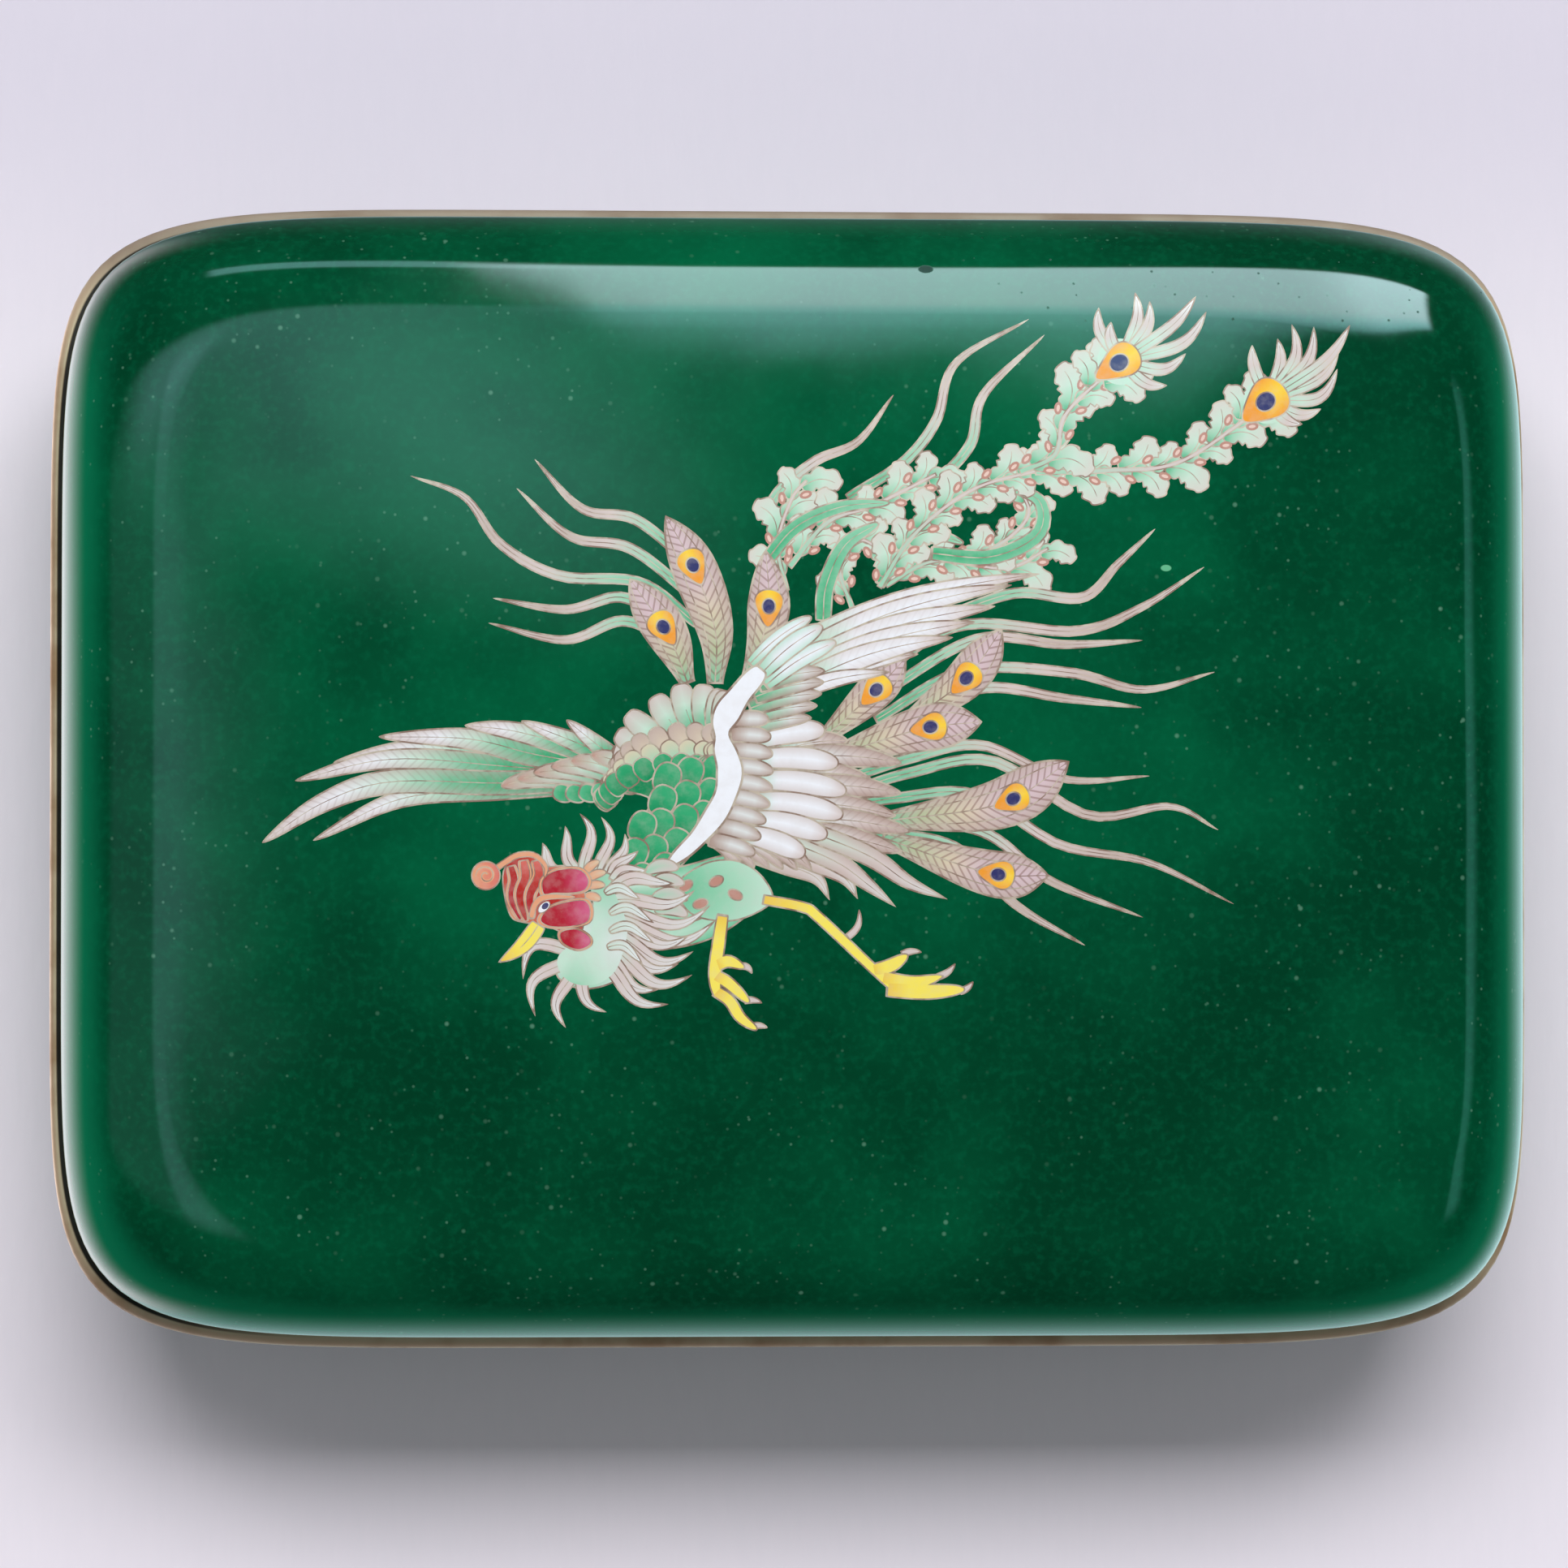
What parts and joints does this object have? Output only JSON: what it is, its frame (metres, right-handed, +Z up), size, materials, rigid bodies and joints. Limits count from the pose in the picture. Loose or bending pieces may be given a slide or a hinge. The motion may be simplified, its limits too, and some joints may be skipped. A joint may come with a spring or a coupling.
{
  "type": "cloisonne enamel box",
  "caption": "Rounded rectangular keepsake box of enamelled copper with a domed lift-off lid, gilt rims, a locating lip and a low foot ring.",
  "frame": {"origin": "middle of the underside, on the table", "axes": "+X along the length, +Y across the width, away from the near long side, +Z up through the lid"},
  "size_m": [0.1326, 0.102, 0.0436],
  "materials": {
    "green_enamel": "glossy fired enamel, dark green and clouded with fine specks",
    "gilt_rim": "gilt copper alloy, softly worn",
    "picture_enamel": "inlaid enamels in mint, white, mauve, emerald, red and yellow, polished level",
    "silver_wire": "flat silver wire, polished level with the enamel"
  },
  "bodies": {
    "root": {"lid": "green_enamel", "lid_rim": "gilt_rim", "tray": "green_enamel", "tray_rim": "gilt_rim"}
  },
  "joints": []
}
